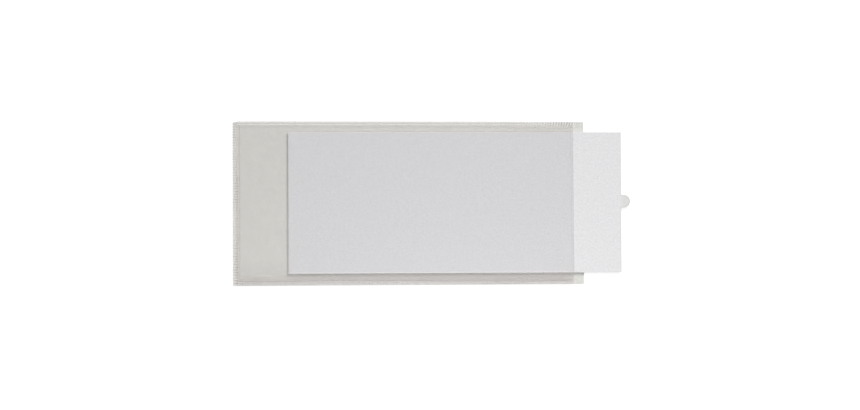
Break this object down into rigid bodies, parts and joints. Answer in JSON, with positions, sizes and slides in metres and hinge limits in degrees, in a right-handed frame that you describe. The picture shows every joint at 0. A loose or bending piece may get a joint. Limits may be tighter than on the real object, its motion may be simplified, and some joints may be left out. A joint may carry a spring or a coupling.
{
  "type": "self-adhesive label holder",
  "caption": "Flat clear label pocket with knurled welds on three sides, an open short end with a lip, a pull-out tabbed card, and an adhesive back under a release liner",
  "frame": {"origin": "middle of the adhesive face, on the surface that the holder is stuck to", "axes": "+X along the pocket towards its open mouth, +Y across the pocket towards the narrower weld, +Z out of the window, away from the surface"},
  "size_m": [0.1588, 0.065, 0.0011],
  "materials": {
    "liner_paper": "matt siliconised paper, pale grey with a green cast",
    "adhesive": "clear pressure-sensitive coat",
    "back_film": "clear soft film with a satin gloss",
    "front_film": "clear soft film, glossy, knurled where it is welded",
    "card_paper": "plain smooth white card"
  },
  "bodies": {
    "holder": {"adhesive_layer": "adhesive", "back_sheet": "back_film", "top_weld": "front_film", "bottom_weld": "front_film", "end_weld": "front_film", "front_window": "front_film"},
    "card": {"label_card": "card_paper"},
    "liner": {"release_liner": "liner_paper"}
  },
  "joints": [
    {"name": "card_slide", "type": "slide", "parent": "holder", "child": "card", "axis": [1, 0, 0], "range_m": [-0.0192, 0.12]},
    {"name": "liner_peel", "type": "slide", "parent": "holder", "child": "liner", "axis": [0, 0, -1], "range_m": [0, 0.02]}
  ]
}
